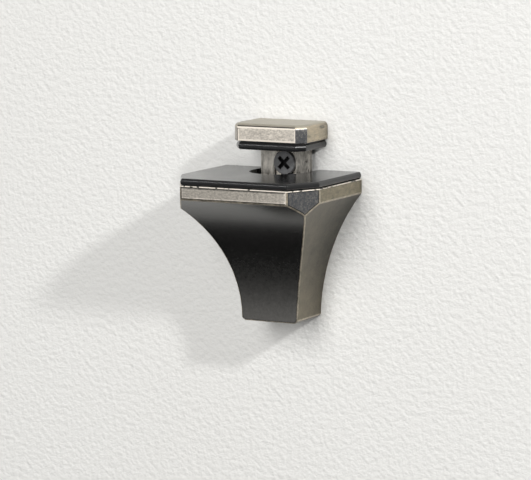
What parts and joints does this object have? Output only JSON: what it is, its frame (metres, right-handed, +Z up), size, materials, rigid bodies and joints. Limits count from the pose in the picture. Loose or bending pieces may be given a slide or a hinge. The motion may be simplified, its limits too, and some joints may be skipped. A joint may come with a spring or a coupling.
{
  "type": "adjustable shelf bracket",
  "caption": "Wall-mounted clamp bracket for a shelf board: a hollow flared lower jaw slides on the upper jaw's stem and is drawn up by a screw from below.",
  "frame": {"origin": "the wall screw's axis where it meets the wall's face", "axes": "+X along the wall to the right, +Y into the wall, +Z up; the bracket stands out from the wall towards -Y"},
  "size_m": [0.058, 0.083, 0.0733],
  "materials": {
    "aged_nickel": "aged nickel plate on a zinc casting, worn bright on the edges",
    "black_pad": "smooth glossy soft plastic",
    "black_steel": "black phosphated steel, satin",
    "zinc_steel": "zinc-plated steel, satin",
    "spring_steel": "oiled spring steel"
  },
  "bodies": {
    "upper_jaw": {"upper_jaw": "aged_nickel", "upper_pad": "black_pad", "wall_screw": "black_steel"},
    "lower_jaw": {"lower_jaw": "aged_nickel", "lower_pad": "black_pad"},
    "adjusting_screw": {"adjusting_screw": "zinc_steel", "retaining_clip": "spring_steel"}
  },
  "joints": [
    {"name": "jaw_slide", "type": "slide", "parent": "upper_jaw", "child": "lower_jaw", "axis": [0, 0, 1], "range_m": [-0.0165, 0.0035]},
    {"name": "adjusting_screw_turn", "type": "hinge", "parent": "lower_jaw", "child": "adjusting_screw", "pos_m": [0, -0.0098, -0.052], "axis": [0, 0, 1], "range_deg": [-7430, 1580]}
  ],
  "couplings": [
    {"joint": "adjusting_screw_turn", "follows": "jaw_slide", "rad_per_m": 7854}
  ]
}
